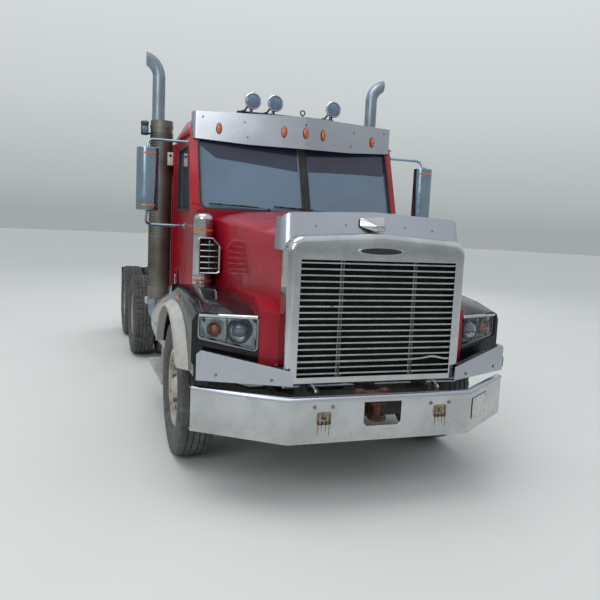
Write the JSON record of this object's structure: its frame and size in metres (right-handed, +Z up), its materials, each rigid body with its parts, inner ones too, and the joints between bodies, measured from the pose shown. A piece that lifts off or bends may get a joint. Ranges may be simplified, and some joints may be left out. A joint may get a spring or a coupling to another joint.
{
  "type": "semi truck tractor unit",
  "caption": "Conventional day-cab semi truck tractor with tilting hood, opening doors, steered front axle, twin-wheel drive axles and a fifth wheel.",
  "frame": {"origin": "on the ground under the middle of the overall length and width", "axes": "+X to the truck's left side, +Y to its rear, +Z up"},
  "size_m": [2.878, 7.75, 3.4771],
  "materials": {
    "red_paint": "gloss",
    "black_paint": "gloss",
    "chrome": "polished",
    "stainless": "polished",
    "frame_black": "satin",
    "engine_grey": "matte",
    "rusty_steel": "matte",
    "aluminium": "satin",
    "wheel_paint": "satin",
    "tyre": "matte",
    "glass": "gloss",
    "lamp": "gloss",
    "shield_metal": "matte",
    "trim_grey": "matte",
    "rubber": "matte",
    "seat_cloth": "matte",
    "flare_rubber": "matte"
  },
  "bodies": {
    "chassis": {"air_cleaners": "chrome", "air_tanks": "aluminium", "bumper": "chrome", "cab_glass": "glass", "cab_shell": "red_paint", "cab_tanks": "aluminium", "dashboard": "trim_grey", "deck_plate": "aluminium", "driveline": "engine_grey", "engine": "engine_grey", "exhaust_pipes": "chrome", "fifth_wheel_base": "frame_black", "frame": "frame_black", "front_axle": "frame_black", "front_springs": "frame_black", "heat_shields": "shield_metal", "mudflaps": "rubber", "radiator": "frame_black", "rear_axles": "frame_black", "rear_suspension": "frame_black", "roof_lamps": "frame_black", "seats": "seat_cloth", "side_steps": "aluminium", "steering_wheel": "rubber", "tow_pin": "rusty_steel", "visor": "stainless"},
    "hood": {"hood_shell": "red_paint", "fenders": "black_paint", "fender_flares": "flare_rubber", "grille_surround": "chrome", "grille_bars": "stainless", "hood_shield": "stainless", "headlamps": "lamp", "corner_panels": "stainless", "intakes": "chrome"},
    "fifth_wheel": {"fifth_wheel_plate": "engine_grey"},
    "tie_rod": {"tie_rod": "frame_black"},
    "door_right": {"door_right": "red_paint", "door_glass_right": "glass", "mirror_right": "chrome"},
    "knuckle_right": {"knuckle_right": "frame_black"},
    "front_wheel_right": {"front_tyre_right": "tyre", "front_rim_right": "wheel_paint"},
    "drive_wheel_1_right": {"drive_tyres_1_right": "tyre", "drive_rims_1_right": "wheel_paint"},
    "drive_wheel_2_right": {"drive_tyres_2_right": "tyre", "drive_rims_2_right": "wheel_paint"},
    "door_left": {"door_left": "red_paint", "door_glass_left": "glass", "mirror_left": "chrome"},
    "knuckle_left": {"knuckle_left": "frame_black"},
    "front_wheel_left": {"front_tyre_left": "tyre", "front_rim_left": "wheel_paint"},
    "drive_wheel_1_left": {"drive_tyres_1_left": "tyre", "drive_rims_1_left": "wheel_paint"},
    "drive_wheel_2_left": {"drive_tyres_2_left": "tyre", "drive_rims_2_left": "wheel_paint"}
  },
  "joints": [
    {"name": "hood_tilt", "type": "hinge", "parent": "chassis", "child": "hood", "pos_m": [0, -3.775, 0.79], "axis": [1, 0, 0], "range_deg": [0, 80]},
    {"name": "door_right_swing", "type": "hinge", "parent": "chassis", "child": "door_right", "pos_m": [-0.985, -2.162, 1.9], "axis": [0, 0, 1], "range_deg": [0, 68]},
    {"name": "door_left_swing", "type": "hinge", "parent": "chassis", "child": "door_left", "pos_m": [0.985, -2.162, 1.9], "axis": [0, 0, -1], "range_deg": [0, 68]},
    {"name": "steer_right", "type": "hinge", "parent": "chassis", "child": "knuckle_right", "pos_m": [-0.93, -2.545, 0.535], "axis": [0, 0, 1], "range_deg": [-35, 35]},
    {"name": "steer_left", "type": "hinge", "parent": "chassis", "child": "knuckle_left", "pos_m": [0.93, -2.545, 0.535], "axis": [0, 0, 1], "range_deg": [-35, 35]},
    {"name": "tie_rod_pivot", "type": "hinge", "parent": "knuckle_right", "child": "tie_rod", "pos_m": [-0.88, -2.345, 0.4125], "axis": [0, 0, 1], "range_deg": [-35, 35]},
    {"name": "front_right_spin", "type": "hinge", "parent": "knuckle_right", "child": "front_wheel_right", "pos_m": [-1.077, -2.545, 0.535], "axis": [1, 0, 0], "continuous": true},
    {"name": "front_left_spin", "type": "hinge", "parent": "knuckle_left", "child": "front_wheel_left", "pos_m": [1.077, -2.545, 0.535], "axis": [1, 0, 0], "continuous": true},
    {"name": "drive_1_right_spin", "type": "hinge", "parent": "chassis", "child": "drive_wheel_1_right", "pos_m": [-0.912, 1.415, 0.535], "axis": [1, 0, 0], "continuous": true},
    {"name": "drive_1_left_spin", "type": "hinge", "parent": "chassis", "child": "drive_wheel_1_left", "pos_m": [0.912, 1.415, 0.535], "axis": [1, 0, 0], "continuous": true},
    {"name": "drive_2_right_spin", "type": "hinge", "parent": "chassis", "child": "drive_wheel_2_right", "pos_m": [-0.912, 2.94, 0.535], "axis": [1, 0, 0], "continuous": true},
    {"name": "drive_2_left_spin", "type": "hinge", "parent": "chassis", "child": "drive_wheel_2_left", "pos_m": [0.912, 2.94, 0.535], "axis": [1, 0, 0], "continuous": true},
    {"name": "fifth_wheel_pitch", "type": "hinge", "parent": "chassis", "child": "fifth_wheel", "pos_m": [0, 2.175, 1.165], "axis": [1, 0, 0], "range_deg": [-12, 12]}
  ],
  "couplings": [
    {"joint": "steer_left", "follows": "steer_right", "ratio": 1},
    {"joint": "tie_rod_pivot", "follows": "steer_right", "ratio": -1}
  ]
}
